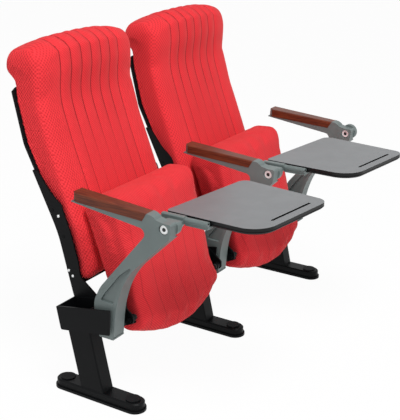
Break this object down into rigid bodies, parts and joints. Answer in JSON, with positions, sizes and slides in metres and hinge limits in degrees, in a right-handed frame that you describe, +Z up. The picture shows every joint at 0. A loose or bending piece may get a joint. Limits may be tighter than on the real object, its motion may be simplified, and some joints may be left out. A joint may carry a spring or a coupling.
{
  "type": "auditorium tip up seat",
  "caption": "Row bay of tip up seats with high backs, wood topped cast arms on bolted stands, and folding writing tablets",
  "frame": {"origin": "on the floor, midway between the two floor bolts of the middle stand", "axes": "+X along the row from the sitter's right to left stand as seen from the front, the seats face -Y, +Z up"},
  "size_m": [1.22, 0.8871, 1.0251],
  "materials": {
    "black_metal": "satin",
    "black_plastic": "matte",
    "grey_casting": "satin",
    "stained_wood": "gloss",
    "red_fabric": "matte",
    "grey_laminate": "satin",
    "black_edge": "satin",
    "bright_metal": "polished",
    "black_rubber": "matte"
  },
  "bodies": {
    "stands": {"foot_left": "black_metal", "column_left": "black_metal", "side_box_left": "black_metal", "arm_frame_left": "grey_casting", "arm_pad_left": "stained_wood", "foot_middle": "black_metal", "column_middle": "black_metal", "side_box_middle": "black_metal", "arm_frame_middle": "grey_casting", "arm_pad_middle": "stained_wood", "foot_right": "black_metal", "column_right": "black_metal", "side_box_right": "black_metal", "arm_frame_right": "grey_casting", "arm_pad_right": "stained_wood", "foot_caps": "black_metal", "base_caps": "black_plastic", "hub_bolts": "bright_metal", "hub_blank": "grey_casting", "pivot_brackets_1": "black_metal", "pivot_pins_1": "bright_metal", "stop_buffers_1": "black_rubber", "stop_nuts_1": "bright_metal", "back_cushion_1": "red_fabric", "back_shell_1": "black_plastic", "back_strips_1": "black_metal", "pivot_brackets_2": "black_metal", "pivot_pins_2": "bright_metal", "stop_buffers_2": "black_rubber", "stop_nuts_2": "bright_metal", "back_cushion_2": "red_fabric", "back_shell_2": "black_plastic", "back_strips_2": "black_metal"},
    "seat_1": {"seat_cushion_1": "red_fabric", "seat_bars_1": "bright_metal", "seat_plates_1": "black_metal"},
    "seat_2": {"seat_cushion_2": "red_fabric", "seat_bars_2": "bright_metal", "seat_plates_2": "black_metal"},
    "swivel_1": {"tablet_swivel_1": "grey_casting", "tablet_pin_1": "bright_metal"},
    "swivel_2": {"tablet_swivel_2": "grey_casting", "tablet_pin_2": "bright_metal"},
    "tablet_1": {"tablet_leaf_1": "grey_casting", "tablet_board_1": "grey_laminate", "tablet_tray_1": "black_edge"},
    "tablet_2": {"tablet_leaf_2": "grey_casting", "tablet_board_2": "grey_laminate", "tablet_tray_2": "black_edge"}
  },
  "joints": [
    {"name": "seat_tip_1", "type": "hinge", "parent": "stands", "child": "seat_1", "pos_m": [-0.285, -0.028, 0.286], "axis": [1, 0, 0], "range_deg": [0, 96.7], "stiffness_Nm_per_rad": 5.5, "springref_deg": -17.19},
    {"name": "tablet_swing_1", "type": "hinge", "parent": "stands", "child": "swivel_1", "pos_m": [-0.57, -0.248, 0.589], "axis": [-1, 0, 0], "range_deg": [0, 90]},
    {"name": "tablet_fold_1", "type": "hinge", "parent": "swivel_1", "child": "tablet_1", "pos_m": [-0.508, -0.226, 0.595], "axis": [0, -1, 0], "range_deg": [0, 90]},
    {"name": "seat_tip_2", "type": "hinge", "parent": "stands", "child": "seat_2", "pos_m": [0.285, -0.028, 0.286], "axis": [1, 0, 0], "range_deg": [0, 96.7], "stiffness_Nm_per_rad": 5.5, "springref_deg": -17.19},
    {"name": "tablet_swing_2", "type": "hinge", "parent": "stands", "child": "swivel_2", "pos_m": [0, -0.248, 0.589], "axis": [-1, 0, 0], "range_deg": [0, 90]},
    {"name": "tablet_fold_2", "type": "hinge", "parent": "swivel_2", "child": "tablet_2", "pos_m": [0.062, -0.226, 0.595], "axis": [0, -1, 0], "range_deg": [0, 90]}
  ]
}
